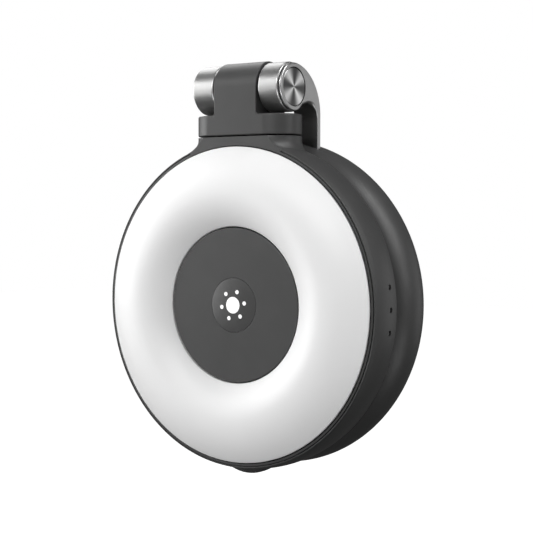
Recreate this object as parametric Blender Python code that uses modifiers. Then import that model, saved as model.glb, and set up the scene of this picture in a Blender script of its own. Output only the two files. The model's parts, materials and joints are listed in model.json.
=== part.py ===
"""Folding ring light: a round light head hinged over a round magnetic back pod.

World frame: metres, +X right, +Y towards the back, +Z up. The origin is the centre of the
grip pad's back face, and the light looks along -Y with the head folded flat against the pod.

Three frames hold the pieces. Head and pod pieces are drawn face on: local x right, local y up
and local z out of the front. Hinge pieces are drawn in a frame centred on the hinge axis, with
the world's own directions, and turned ones lie with their local z along +X.
"""

import math

import bmesh
import bpy

MM = 0.001
GAP = 0.3 * MM            # clearance between pieces that rest on each other
THIN_GAP = 0.1 * MM       # clearance round small inserts

# Depths along the light's axis, measured back from the plane of the front lip.
DEPTH = 23.8 * MM         # lip plane to the back face of the grip pad

# Light head
HEAD_RADIUS = 34.0 * MM
HEAD_DEPTH = 8.05 * MM
WALL_DRAFT = 0.25 * MM    # the side wall is this much wider at the back
WALL_BULGE = 0.52 * MM    # and it swells by this much between its two edges
WALL = 1.65 * MM
LIP_INNER = 33.1 * MM
LEDGE_INNER = 31.6 * MM
LEDGE_TOP = 1.6 * MM
LEDGE_BOTTOM = 2.3 * MM

DIFFUSER_OUTER = 32.86 * MM
DIFFUSER_INNER = 16.34 * MM
DIFFUSER_PROUD = 0.35 * MM
DIFFUSER_CROWN = 3.2 * MM
DIFFUSER_APEX = 23.6 * MM   # radius where the ring stands highest
DIFFUSER_SKIN = 1.0 * MM

CAP_RADIUS = 16.1 * MM
CAP_THICK = 1.1 * MM
CAP_SKIRT = 1.15 * MM
BUTTON_RADIUS = 5.65 * MM
BUTTON_CROWN = 0.34 * MM
BUTTON_CURVE = 2.3         # 2 is a parabola; more is flatter in the middle
BUTTON_FLANGE = 6.6 * MM
ICON_CENTRE_RADIUS = 1.72 * MM
ICON_DOT_RADIUS = 0.43 * MM
ICON_RING_RADIUS = 2.93 * MM
ICON_TURN = math.radians(9)
ICON_DOTS = 6

LED_COUNT = 12
LED_RING_RADIUS = 24.5 * MM
LED_SIZE = 2.0 * MM
BOARD_RADIUS = 31.2 * MM
BOARD_FRONT = 2.7 * MM
BOARD_THICK = 0.8 * MM

INDICATOR_PITCH = 4.53 * MM
INDICATOR_DEPTH = 5.06 * MM
INDICATOR_RADIUS = 0.6 * MM

COVER_RADIUS = 32.3 * MM
COVER_FRONT = 7.1 * MM
COVER_BACK = 7.95 * MM
COVER_SCREW_CIRCLE = 29.5 * MM
COVER_SCREWS = 4
COVER_SCREW_SEAT = 7.5 * MM

# Thumb tab under the head
TAB_RADIUS = 11.0 * MM
TAB_REACH = 35.8 * MM
TAB_FRONT = 4.4 * MM
TAB_BACK = 5.6 * MM

# Pedestal on top of the head, and the hinge bracket that stands on it
SPLIT_HEIGHT = 34.94 * MM
BRACKET_HALF_FLAT = 6.9 * MM
BRACKET_DEPTH = 10.56 * MM
BRACKET_BOTTOM = 35.2 * MM
BRACKET_TOP = 39.5 * MM
FLARE_RADIUS = 3.0 * MM
FLARE_START = 33.73 * MM
REAR_FLARE_RADIUS = 2.6 * MM
PEDESTAL_FOOT = 30.5 * MM
BRACKET_SCREW_X = 8.0 * MM

# Hinge
HINGE_HEIGHT = 45.04 * MM
HINGE_DEPTH = 5.28 * MM
KNUCKLE_HALF = 5.4 * MM
KNUCKLE_RISE = 0.22 * MM     # the knuckle's round top sits this much above the axis
BARREL_RADIUS = 5.157 * MM
BARREL_START = 5.75 * MM
LEFT_BARREL_END = 11.17 * MM
RIGHT_BARREL_END = 10.7 * MM
BARREL_CHAMFER = 0.4 * MM
SLEEVE_INNER = 4.6 * MM
HUB_RADIUS = 4.3 * MM
HUB_START = 6.3 * MM
SHAFT_RADIUS = 1.5 * MM
SHAFT_BORE = 1.8 * MM
END_CAP_RADIUS = 3.95 * MM
END_CAP_POCKET = 4.08 * MM

# Arm: a strap on the right side only, from the hinge hub down into the pod
ARM_LEFT = 5.6 * MM
ARM_RIGHT = 11.45 * MM
ARM_MIDDLE = (ARM_LEFT + ARM_RIGHT) / 2
ARM_FLANGE_START = 11.06 * MM
ARM_FLANGE_RADIUS = 4.96 * MM
ARM_OUTER_RADIUS = 10.28 * MM
ARM_LEAN = math.radians(5.6)    # where the outer curve leaves the flange, off the vertical
ARM_PLATE_FRONT = 13.95 * MM
ARM_PLATE_BACK = 15.04 * MM
ARM_INNER_RADIUS = 3.25 * MM
ARM_INNER_HEIGHT = 38.66 * MM
ARM_FOOT = 22.0 * MM
ARM_SCREW_HEIGHTS = (24.0 * MM, 28.0 * MM)

# Back pod: heights are measured forwards from the grip pad's back face.
POD_FLAT_RADIUS = 27.2 * MM
POD_EDGE_RADIUS = 7.6 * MM
POD_BACK = 0.3 * MM
POD_WALL = 1.6 * MM
POD_OPENING = 26.9 * MM
POD_SCREW_CIRCLE = 11.0 * MM
POD_SCREWS = 3
MAGNET_COUNT = 8
MAGNET_CIRCLE = 21.0 * MM
MAGNET_RADIUS = 3.0 * MM

ROUND_STEPS = 48
INNER_STEPS = 32
SMALL_STEPS = 12
SCREW_STEPS = 8


# --- scene set-up -------------------------------------------------------------------------

for old in list(bpy.data.objects):
    bpy.data.objects.remove(old, do_unlink=True)

parts = bpy.data.collections.new("ring_light")
bpy.context.scene.collection.children.link(parts)
cutters = bpy.data.collections.new("cutters")
bpy.context.scene.collection.children.link(cutters)


def finish(name, colour, roughness, metallic):
    """Make one material with a Principled shader."""
    material = bpy.data.materials.new(name)
    material.use_nodes = True
    shader = material.node_tree.nodes["Principled BSDF"]
    shader.inputs["Base Color"].default_value = (*colour, 1.0)
    shader.inputs["Roughness"].default_value = roughness
    shader.inputs["Metallic"].default_value = metallic
    return material


HOUSING = finish("housing_plastic", (0.105, 0.105, 0.105), 0.5, 0.0)
CAP = finish("cap_plastic", (0.09, 0.09, 0.09), 0.45, 0.0)
DIFFUSER = finish("diffuser_plastic", (0.93, 0.93, 0.93), 0.45, 0.0)
ICON = finish("icon_plastic", (0.9, 0.9, 0.9), 0.4, 0.0)
REFLECTOR = finish("reflector_plastic", (0.88, 0.88, 0.88), 0.35, 0.0)
PIPE = finish("light_pipe_plastic", (0.02, 0.02, 0.02), 0.2, 0.0)
BARREL = finish("barrel_aluminium", (0.75, 0.75, 0.75), 0.3, 1.0)
ARM = finish("arm_aluminium", (0.28, 0.28, 0.28), 0.45, 1.0)
SPUN = finish("spun_aluminium", (0.7, 0.7, 0.7), 0.3, 1.0)
STEEL = finish("fastener_steel", (0.5, 0.5, 0.5), 0.35, 1.0)
BOARD = finish("circuit_board", (0.03, 0.12, 0.06), 0.5, 0.0)
BATTERY = finish("battery_foil", (0.6, 0.6, 0.62), 0.35, 0.9)
MAGNET = finish("magnet_nickel", (0.55, 0.54, 0.52), 0.25, 1.0)
BALLAST = finish("ballast_steel", (0.4, 0.4, 0.4), 0.5, 1.0)
PAD = finish("grip_rubber", (0.05, 0.05, 0.05), 0.8, 0.0)


def frame(name, parent, location, rotation=(0, 0, 0)):
    """An empty that pieces are placed in."""
    empty = bpy.data.objects.new(name, None)
    empty.location = location
    empty.rotation_euler = rotation
    empty.parent = parent
    parts.objects.link(empty)
    return empty


QUARTER = math.pi / 2
hinge_axis = frame("hinge_axis", None, (0, HINGE_DEPTH - DEPTH, HINGE_HEIGHT))
head_frame = frame("head_frame", hinge_axis, (0, -HINGE_DEPTH, -HINGE_HEIGHT), (QUARTER, 0, 0))
pod_frame = frame("pod_frame", None, (0, 0, 0), (QUARTER, 0, 0))
arm_frame = frame("arm_frame", None, (0, HINGE_DEPTH - DEPTH, HINGE_HEIGHT))
ALONG_X = (0, QUARTER, 0)


# --- modelling helpers --------------------------------------------------------------------

def add(name, mesh, parent, material=None, location=(0, 0, 0), rotation=(0, 0, 0)):
    """Put a mesh in the object's collection, or with the cutters when it has no material."""
    piece = bpy.data.objects.new(name, mesh)
    piece.location = location
    piece.rotation_euler = rotation
    piece.parent = parent
    if material is None:
        cutters.objects.link(piece)
        piece.hide_render = True
        piece.display_type = 'WIRE'
    else:
        parts.objects.link(piece)
        mesh.materials.append(material)
    return piece


def turned(name, profile, parent, material=None, steps=ROUND_STEPS, **place):
    """Turn a profile of (radius, height) points round local z.

    The points run down the outer side. A profile that doesn't start and end on the axis is
    closed into a ring.
    """
    closed = profile[0][0] > 0 or profile[-1][0] > 0
    points = [(radius, 0, height) for radius, height in profile]
    edges = [(index, index + 1) for index in range(len(points) - 1)]
    if closed:
        edges.append((len(points) - 1, 0))
    mesh = bpy.data.meshes.new(name)
    mesh.from_pydata(points, edges, [])
    piece = add(name, mesh, parent, material, **place)
    screw = piece.modifiers.new("turn", 'SCREW')
    screw.steps = steps
    screw.render_steps = steps
    screw.use_merge_vertices = True
    screw.merge_threshold = 1e-6
    return piece


def rod(name, radius, bottom, top, parent, material=None, steps=SMALL_STEPS, **place):
    """A plain cylinder along local z."""
    profile = [(0, top), (radius, top), (radius, bottom), (0, bottom)]
    return turned(name, profile, parent, material, steps, **place)


def washer(name, outer, inner, bottom, top, parent, material=None, steps=SMALL_STEPS, **place):
    """A flat ring round local z."""
    profile = [(inner, top), (outer, top), (outer, bottom), (inner, bottom)]
    return turned(name, profile, parent, material, steps, **place)


def block(name, low, high, parent, material=None, bevel=0.0, **place):
    """A box between two corners, with its edges rounded when bevel is given."""
    bpy.ops.mesh.primitive_cube_add(size=1)
    cube = bpy.context.active_object
    mesh = cube.data
    bpy.data.objects.remove(cube)
    for vertex in mesh.vertices:
        for axis in range(3):
            middle = (low[axis] + high[axis]) / 2
            vertex.co[axis] = middle + vertex.co[axis] * (high[axis] - low[axis])
    mesh.name = name
    piece = add(name, mesh, parent, material, **place)
    if bevel:
        rounding = piece.modifiers.new("round", 'BEVEL')
        rounding.width = bevel
        rounding.segments = 2
    return piece


def plate(name, outline, thickness, parent, material=None, **place):
    """A flat outline of (x, y) points, thick along local z and centred on it."""
    curve = bpy.data.curves.new(name, 'CURVE')
    curve.dimensions = '2D'
    curve.fill_mode = 'BOTH'
    curve.extrude = thickness / 2
    spline = curve.splines.new('POLY')
    spline.points.add(len(outline) - 1)
    for point, (x, y) in zip(spline.points, outline):
        point.co = (x, y, 0, 1)
    spline.use_cyclic_u = True
    outline_object = bpy.data.objects.new(name + "_outline", curve)
    cutters.objects.link(outline_object)
    graph = bpy.context.evaluated_depsgraph_get()
    mesh = bpy.data.meshes.new_from_object(outline_object.evaluated_get(graph))
    bpy.data.objects.remove(outline_object)
    solid = bmesh.new()
    solid.from_mesh(mesh)
    bmesh.ops.remove_doubles(solid, verts=solid.verts, dist=1e-6)
    bmesh.ops.recalc_face_normals(solid, faces=solid.faces)
    solid.to_mesh(mesh)
    solid.free()
    mesh.name = name
    return add(name, mesh, parent, material, **place)


def boolean(target, tools, operation):
    """One exact Boolean step with a group of cutters or guides."""
    group = bpy.data.collections.new(target.name + "_" + operation.lower())
    cutters.children.link(group)
    for tool in tools:
        cutters.objects.unlink(tool)
        group.objects.link(tool)
    step = target.modifiers.new(operation.lower(), 'BOOLEAN')
    step.operation = operation
    step.solver = 'EXACT'
    step.operand_type = 'COLLECTION'
    step.collection = group
    weld = target.modifiers.new("weld", 'WELD')
    weld.merge_threshold = 2e-6


def cut(target, *tools):
    boolean(target, tools, 'DIFFERENCE')


def join(target, *pieces):
    boolean(target, pieces, 'UNION')


def arc(centre, radius, start, end, count):
    """Points on an arc, with the angles in degrees, both ends included."""
    points = []
    for index in range(count + 1):
        angle = math.radians(start + (end - start) * index / count)
        points.append((centre[0] + radius * math.cos(angle), centre[1] + radius * math.sin(angle)))
    return points


def stadium(half_width, front, back, count=10):
    """A plan with two full-round ends, between two depths."""
    radius = (back - front) / 2
    flat = half_width - radius
    middle = (front + back) / 2
    right = arc((flat, middle), radius, -90, 90, count)
    left = arc((-flat, middle), radius, 90, 270, count)
    return right + left


def around(count, radius, turn=0.0):
    """Evenly spaced (x, y, angle) places on a circle."""
    places = []
    for index in range(count):
        angle = turn + 2 * math.pi * index / count
        places.append((radius * math.cos(angle), radius * math.sin(angle), angle))
    return places


def stepped_hole(name, steps_out, far, parent, steps=SMALL_STEPS, **place):
    """A cutter for a stepped hole along local z: (radius, top) pairs, widest at the mouth."""
    profile = [(0, steps_out[0][1])]
    for index, (radius, top) in enumerate(steps_out):
        bottom = steps_out[index + 1][1] if index + 1 < len(steps_out) else far
        profile += [(radius, top), (radius, bottom)]
    profile.append((0, far))
    return turned(name, profile, parent, None, steps, **place)


def screw_profile(head_radius, head_height, shank_radius, length):
    """A cheese-head screw with a hexagon-sized blind socket, head up, seat at height 0."""
    socket = head_radius * 0.45
    return [
        (0, head_height * 0.4), (socket, head_height * 0.4), (socket, head_height),
        (head_radius, head_height), (head_radius, 0), (shank_radius, 0),
        (shank_radius, -length), (0, -length)]


# --- light head ---------------------------------------------------------------------------

def pedestal(parent):
    """The flared neck: stadium sections that widen and draw forwards down to the head."""
    levels = 10
    sections = []
    for index in range(levels + 1):
        height = SPLIT_HEIGHT + (PEDESTAL_FOOT - SPLIT_HEIGHT) * index / levels
        fall = min(max(FLARE_START - height, 0), FLARE_RADIUS * 0.95)
        spread = FLARE_RADIUS - math.sqrt(FLARE_RADIUS ** 2 - fall ** 2)
        drop = min(SPLIT_HEIGHT - height, REAR_FLARE_RADIUS)
        draw = REAR_FLARE_RADIUS - math.sqrt(REAR_FLARE_RADIUS ** 2 - drop ** 2)
        half_width = BRACKET_HALF_FLAT + BRACKET_DEPTH / 2 + spread
        plan = stadium(half_width, 0, BRACKET_DEPTH - draw)
        sections.append([(x, height, -depth) for x, depth in plan])
    count = len(sections[0])
    points = [point for section in sections for point in section]
    faces = [list(range(count)), list(range(levels * count, (levels + 1) * count))[::-1]]
    for level in range(levels):
        for index in range(count):
            following = (index + 1) % count
            upper = level * count
            lower = upper + count
            faces.append([upper + index, lower + index, lower + following, upper + following])
    mesh = bpy.data.meshes.new("pedestal_flare")
    mesh.from_pydata(points, [], faces)
    solid = bmesh.new()
    solid.from_mesh(mesh)
    bmesh.ops.recalc_face_normals(solid, faces=solid.faces)
    solid.to_mesh(mesh)
    solid.free()
    return add("pedestal_flare", mesh, parent)


def wall_radius(depth):
    """Radius of the head's side wall, which is slightly barrel shaped."""
    share = depth / HEAD_DEPTH
    return HEAD_RADIUS + WALL_DRAFT * share + 4 * WALL_BULGE * share * (1 - share)


def head_housing():
    back_radius = HEAD_RADIUS + WALL_DRAFT
    inner = back_radius - WALL
    edge = 0.25 * MM
    steps = 6
    profile = [(0, 0), (HEAD_RADIUS - edge, 0)]
    for index in range(steps + 1):
        depth = edge + (HEAD_DEPTH - 2 * edge) * index / steps
        profile.append((wall_radius(depth), -depth))
    profile += [(back_radius - edge, -HEAD_DEPTH), (0, -HEAD_DEPTH)]
    housing = turned("head_housing", profile, head_frame, HOUSING)
    join(housing, pedestal(head_frame), thumb_tab())
    past = 1 * MM
    cavity = turned("head_cavity", [
        (0, past), (LIP_INNER, past), (LIP_INNER, -LEDGE_TOP), (LEDGE_INNER, -LEDGE_TOP),
        (LEDGE_INNER, -LEDGE_BOTTOM), (inner, -LEDGE_BOTTOM), (inner, -HEAD_DEPTH - past),
        (0, -HEAD_DEPTH - past)], head_frame)
    cut(housing, cavity)
    bosses = []
    holes = []
    for x, y, angle in around(COVER_SCREWS, COVER_SCREW_CIRCLE, math.pi / 4):
        bosses.append(block("cover_boss", (-1.9 * MM, -1.9 * MM, -6.8 * MM),
                            (3.6 * MM, 1.9 * MM, -3.8 * MM), head_frame,
                            location=(x, y, 0), rotation=(0, 0, angle)))
        holes.append(rod("cover_boss_hole", 0.9 * MM, -7.5 * MM, -4.0 * MM, head_frame,
                         location=(x, y, 0), steps=SCREW_STEPS))
    for row in (-1, 0, 1):
        holes.append(rod("indicator_hole", INDICATOR_RADIUS, 31 * MM, 36 * MM, head_frame,
                         location=(0, row * INDICATOR_PITCH, -INDICATOR_DEPTH),
                         rotation=ALONG_X, steps=SCREW_STEPS))
    holes.append(block("usb_slot", (-36 * MM, -4.75 * MM, -7.05 * MM),
                       (-31 * MM, 4.75 * MM, -3.5 * MM), head_frame, bevel=1.0 * MM))
    for side in (-1, 1):
        holes.append(stepped_hole(
            "bracket_screw_hole", [(1.7 * MM, -29 * MM), (1.0 * MM, -32.2 * MM)], -36 * MM,
            head_frame, location=(side * BRACKET_SCREW_X, 0, -HINGE_DEPTH),
            rotation=(QUARTER, 0, 0)))
    join(housing, *bosses)
    cut(housing, *holes)
    return housing


def thumb_tab():
    """A shallow round lip on the side wall of the head, below."""
    outline = arc((0, -(TAB_REACH - TAB_RADIUS)), TAB_RADIUS, 0, 360, 40)[:-1]
    middle = -(TAB_FRONT + TAB_BACK) / 2
    return plate("thumb_tab", outline, TAB_BACK - TAB_FRONT, head_frame,
                 location=(0, 0, middle))


def crown_height(radius):
    """Height of the diffuser's outer skin over the lip plane: two half parabolas."""
    edge = DIFFUSER_OUTER if radius > DIFFUSER_APEX else DIFFUSER_INNER
    across = (radius - DIFFUSER_APEX) / (edge - DIFFUSER_APEX)
    return DIFFUSER_PROUD + DIFFUSER_CROWN * (1 - across ** 2)


def diffuser_ring():
    """A crowned translucent ring with a flange down each edge."""
    flange = DIFFUSER_SKIN
    steps = 8
    span = DIFFUSER_OUTER - DIFFUSER_INNER
    outer_skin = []
    for index in range(steps + 1):
        radius = DIFFUSER_INNER + span * index / steps
        outer_skin.append((radius, crown_height(radius)))
    inner_skin = []
    inner_from = DIFFUSER_OUTER - flange
    inner_to = DIFFUSER_INNER + flange
    inner_steps = 5
    for index in range(inner_steps + 1):
        radius = inner_from + (inner_to - inner_from) * index / inner_steps
        inner_skin.append((radius, crown_height(radius) - DIFFUSER_SKIN * 1.15))
    outer_foot = -LEDGE_TOP + GAP
    inner_foot = -1.7 * MM
    profile = outer_skin
    profile += [(DIFFUSER_OUTER, outer_foot), (inner_from, outer_foot)]
    profile += inner_skin
    profile += [(inner_to, inner_foot), (DIFFUSER_INNER, inner_foot)]
    return turned("diffuser_ring", profile, head_frame, DIFFUSER)


def center_cap():
    """The grey disc in the middle, a shallow cup with a hole for the button."""
    top = DIFFUSER_PROUD
    under = top - CAP_THICK
    hole = BUTTON_RADIUS + 2 * THIN_GAP
    skirt = CAP_RADIUS - CAP_SKIRT
    foot = -BOARD_FRONT + GAP
    chamfer = 0.15 * MM
    return turned("center_cap", [
        (hole, top), (CAP_RADIUS - chamfer, top), (CAP_RADIUS, top - chamfer),
        (CAP_RADIUS, foot), (skirt, foot), (skirt, under), (hole, under)],
        head_frame, CAP)


def dome_height(radius):
    """Height of the button's domed face over the lip plane."""
    return DIFFUSER_PROUD + BUTTON_CROWN * (1 - (radius / BUTTON_RADIUS) ** BUTTON_CURVE)


def dome_button():
    steps = 4
    radii = [BUTTON_RADIUS * index / steps for index in range(steps + 1)]
    dome = [(radius, dome_height(radius)) for radius in radii]
    flange_top = DIFFUSER_PROUD - CAP_THICK - GAP
    flange_bottom = -1.65 * MM
    cavity = 4.2 * MM
    ceiling = 0.1 * MM
    profile = dome + [
        (BUTTON_RADIUS, flange_top), (BUTTON_FLANGE, flange_top),
        (BUTTON_FLANGE, flange_bottom), (cavity, flange_bottom), (cavity, ceiling),
        (0, ceiling)]
    button = turned("dome_button", profile, head_frame, CAP, steps=24)
    above = 3 * MM
    holes = [rod("icon_hole", ICON_CENTRE_RADIUS + THIN_GAP, -above, above, head_frame)]
    for x, y, angle in around(ICON_DOTS, ICON_RING_RADIUS, ICON_TURN):
        holes.append(rod("icon_hole", ICON_DOT_RADIUS + THIN_GAP, -above, above, head_frame,
                         location=(x, y, 0), steps=SCREW_STEPS))
    cut(button, *holes)
    return button


def button_icon():
    """One translucent moulding: seven posts that fill the button's holes, and a plunger."""
    web_top = -0.2 * MM
    web_bottom = -0.6 * MM
    foot = -1.65 * MM
    plunger = 1.2 * MM
    web = 3.8 * MM
    icon = turned("button_icon", [
        (0, dome_height(0)), (ICON_CENTRE_RADIUS, dome_height(0) - 0.1 * MM),
        (ICON_CENTRE_RADIUS, web_top), (web, web_top), (web, web_bottom),
        (plunger, web_bottom), (plunger, foot), (0, foot)],
        head_frame, ICON, steps=SMALL_STEPS)
    post_top = dome_height(ICON_RING_RADIUS)
    posts = []
    for x, y, angle in around(ICON_DOTS, ICON_RING_RADIUS, ICON_TURN):
        posts.append(rod("icon_post", ICON_DOT_RADIUS, -0.4 * MM, post_top, head_frame,
                         location=(x, y, 0), steps=SCREW_STEPS))
    join(icon, *posts)
    return icon


def reflector_ring():
    """A white tray behind the diffuser, with a window for each LED."""
    inner = 16.9 * MM
    outer = LEDGE_INNER - GAP
    rim = -0.6 * MM
    floor = -2.0 * MM
    under = -2.4 * MM
    wall = 0.5 * MM
    inner_wall = 18.0 * MM
    tray = turned("reflector_ring", [
        (inner, floor), (inner_wall, floor), (inner_wall, rim), (inner_wall + wall, rim),
        (inner_wall + wall, floor), (outer - wall, floor), (outer - wall, rim), (outer, rim),
        (outer, under), (inner, under)], head_frame, REFLECTOR, INNER_STEPS)
    half = LED_SIZE / 2 + 2 * THIN_GAP
    windows = []
    for x, y, angle in around(LED_COUNT, LED_RING_RADIUS):
        windows.append(block("led_window", (-half, -half, -3 * MM), (half, half, -1.5 * MM),
                             head_frame, location=(x, y, 0), rotation=(0, 0, angle)))
    cut(tray, *windows)
    return tray


def led_board():
    """The round board with its ring of LEDs soldered on."""
    back = -BOARD_FRONT - BOARD_THICK
    board = rod("led_board", BOARD_RADIUS, back, -BOARD_FRONT, head_frame, BOARD, INNER_STEPS)
    half = LED_SIZE / 2
    leds = []
    for x, y, angle in around(LED_COUNT, LED_RING_RADIUS):
        leds.append(block("led", (-half, -half, -BOARD_FRONT - 0.2 * MM),
                          (half, half, -BOARD_FRONT + 0.5 * MM), head_frame,
                          location=(x, y, 0), rotation=(0, 0, angle)))
    join(board, *leds)
    return board


def tact_switch():
    half = 2.2 * MM
    seat = -BOARD_FRONT + THIN_GAP / 2
    body_top = -2.2 * MM
    body = block("tact_switch", (-half, -half, seat), (half, half, body_top), head_frame, STEEL)
    join(body, rod("switch_plunger", 0.9 * MM, -2.4 * MM, -1.97 * MM, head_frame,
                   steps=SCREW_STEPS))
    return body


def battery():
    return block("battery", (-13.5 * MM, -16 * MM, -6.7 * MM),
                 (24.5 * MM, 16 * MM, -3.9 * MM), head_frame, BATTERY, bevel=0.8 * MM)


def charge_board():
    return block("charge_board", (-26.0 * MM, -9 * MM, -5.8 * MM),
                 (-15 * MM, 9 * MM, -5.0 * MM), head_frame, BOARD)


def usb_c_port():
    """A receptacle shell, open to the left, with its tongue inside."""
    mouth = -33.7 * MM
    tail = -26.3 * MM
    middle = -5.28 * MM
    shell = block("usb_c_port", (mouth, -4.47 * MM, middle - 1.58 * MM),
                  (tail, 4.47 * MM, middle + 1.58 * MM), head_frame, STEEL, bevel=1.2 * MM)
    cut(shell, block("usb_mouth", (mouth - 3 * MM, -4.15 * MM, middle - 1.27 * MM),
                     (tail - 1 * MM, 4.15 * MM, middle + 1.27 * MM), head_frame,
                     bevel=1.0 * MM))
    join(shell, block("usb_tongue", (mouth + 1.2 * MM, -3.35 * MM, middle - 0.35 * MM),
                      (tail - 0.5 * MM, 3.35 * MM, middle + 0.35 * MM), head_frame))
    return shell


def indicator_light_pipe():
    """Three smoked pins on one strip, ending just under the side wall's surface."""
    half = 0.75 * MM
    strip = block("indicator_light_pipe", (31.0 * MM, -5.4 * MM, -INDICATOR_DEPTH - half),
                  (31.7 * MM, 5.4 * MM, -INDICATOR_DEPTH + half), head_frame, PIPE)
    pins = []
    for row in (-1, 0, 1):
        height = row * INDICATOR_PITCH
        surface = math.sqrt(wall_radius(INDICATOR_DEPTH) ** 2 - height ** 2)
        pins.append(rod("indicator_pin", INDICATOR_RADIUS - THIN_GAP, 31.4 * MM,
                        surface - GAP, head_frame, steps=SCREW_STEPS,
                        location=(0, height, -INDICATOR_DEPTH), rotation=ALONG_X))
    join(strip, *pins)
    return strip


def head_back_cover():
    cover = turned("head_back_cover", [
        (0, -COVER_FRONT), (COVER_RADIUS, -COVER_FRONT), (COVER_RADIUS, -COVER_BACK + THIN_GAP),
        (COVER_RADIUS - THIN_GAP, -COVER_BACK), (0, -COVER_BACK)], head_frame, HOUSING)
    holes = []
    for x, y, angle in around(COVER_SCREWS, COVER_SCREW_CIRCLE, math.pi / 4):
        holes.append(stepped_hole(
            "cover_screw_hole", [(1.6 * MM, 9 * MM), (0.95 * MM, 7.45 * MM)], 6 * MM,
            head_frame, location=(x, y, 0), rotation=(math.pi, 0, 0)))
    cut(cover, *holes)
    return cover


def cover_screws():
    """Four screws in from the back, heads just below the cover's face."""
    profile = screw_profile(1.45 * MM, 0.4 * MM, 0.75 * MM, 3.2 * MM)
    for index, (x, y, angle) in enumerate(around(COVER_SCREWS, COVER_SCREW_CIRCLE, math.pi / 4)):
        turned("cover_screw_%d" % (index + 1), profile, head_frame, STEEL, SCREW_STEPS,
               location=(x, y, -COVER_SCREW_SEAT), rotation=(math.pi, 0, 0))


def light_head():
    head_housing()
    diffuser_ring()
    center_cap()
    dome_button()
    button_icon()
    reflector_ring()
    led_board()
    tact_switch()
    battery()
    charge_board()
    usb_c_port()
    indicator_light_pipe()
    head_back_cover()
    cover_screws()


# --- hinge --------------------------------------------------------------------------------

def hinge_bracket():
    """The stadium base and the knuckle that stands on it, in one piece."""
    half_width = BRACKET_HALF_FLAT + BRACKET_DEPTH / 2
    half_depth = BRACKET_DEPTH / 2
    height = BRACKET_TOP - BRACKET_BOTTOM
    middle = (BRACKET_TOP + BRACKET_BOTTOM) / 2 - HINGE_HEIGHT
    base = plate("hinge_bracket", stadium(half_width, -half_depth, half_depth, 12), height,
                 hinge_axis, HOUSING, location=(0, 0, middle))
    softened = base.modifiers.new("edge", 'BEVEL')
    softened.width = 0.25 * MM
    softened.segments = 1
    softened.angle_limit = math.radians(60)
    foot = BRACKET_TOP - HINGE_HEIGHT - 1 * MM
    outline = arc((0, KNUCKLE_RISE), half_depth, 0, 180, 24)
    outline += [(-half_depth, foot), (half_depth, foot)]
    knuckle = plate("knuckle", outline, 2 * KNUCKLE_HALF, hinge_axis,
                    rotation=(QUARTER, 0, QUARTER))
    join(base, knuckle)
    holes = [rod("knuckle_bore", SHAFT_BORE, -9 * MM, 9 * MM, hinge_axis, rotation=ALONG_X)]
    for side in (-1, 1):
        holes.append(rod("bracket_screw_bore", 1.0 * MM, -12 * MM, -7 * MM, hinge_axis,
                         location=(side * BRACKET_SCREW_X, 0, 0), steps=SCREW_STEPS))
    cut(base, *holes)
    return base


def bracket_screws():
    """Two screws up through the pedestal into the bracket, heads inside the light head."""
    profile = screw_profile(1.45 * MM, 1.0 * MM, 0.8 * MM, 5.4 * MM)
    seat = 31.95 * MM - HINGE_HEIGHT
    for index, side in enumerate((-1, 1)):
        turned("bracket_screw_%d" % (index + 1), profile, hinge_axis, STEEL, SCREW_STEPS,
               location=(side * BRACKET_SCREW_X, 0, seat), rotation=(math.pi, 0, 0))


def left_barrel():
    """A cup that closes the left end and holds the disc springs and the nut."""
    chamfer = BARREL_CHAMFER
    cavity = 3.7 * MM
    bottom = LEFT_BARREL_END - 1.2 * MM
    return turned("left_barrel", [
        (0, -bottom), (cavity, -bottom), (cavity, -BARREL_START),
        (BARREL_RADIUS - chamfer, -BARREL_START), (BARREL_RADIUS, -BARREL_START - chamfer),
        (BARREL_RADIUS, -LEFT_BARREL_END + chamfer),
        (BARREL_RADIUS - chamfer, -LEFT_BARREL_END), (0, -LEFT_BARREL_END)],
        hinge_axis, BARREL, INNER_STEPS, rotation=ALONG_X)


def right_barrel():
    """A split sleeve round the arm's hub. Its slot faces back, where the arm's web passes."""
    chamfer = BARREL_CHAMFER
    sleeve = turned("right_barrel", [
        (SLEEVE_INNER, RIGHT_BARREL_END), (BARREL_RADIUS - chamfer, RIGHT_BARREL_END),
        (BARREL_RADIUS, RIGHT_BARREL_END - chamfer), (BARREL_RADIUS, BARREL_START + chamfer),
        (BARREL_RADIUS - chamfer, BARREL_START), (SLEEVE_INNER, BARREL_START)],
        arm_frame, BARREL, INNER_STEPS, rotation=ALONG_X)
    cut(sleeve, block("sleeve_slot", (4 * MM, 3 * MM, -1.8 * MM), (12 * MM, 7 * MM, 1.8 * MM),
                      arm_frame))
    return sleeve


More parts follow.
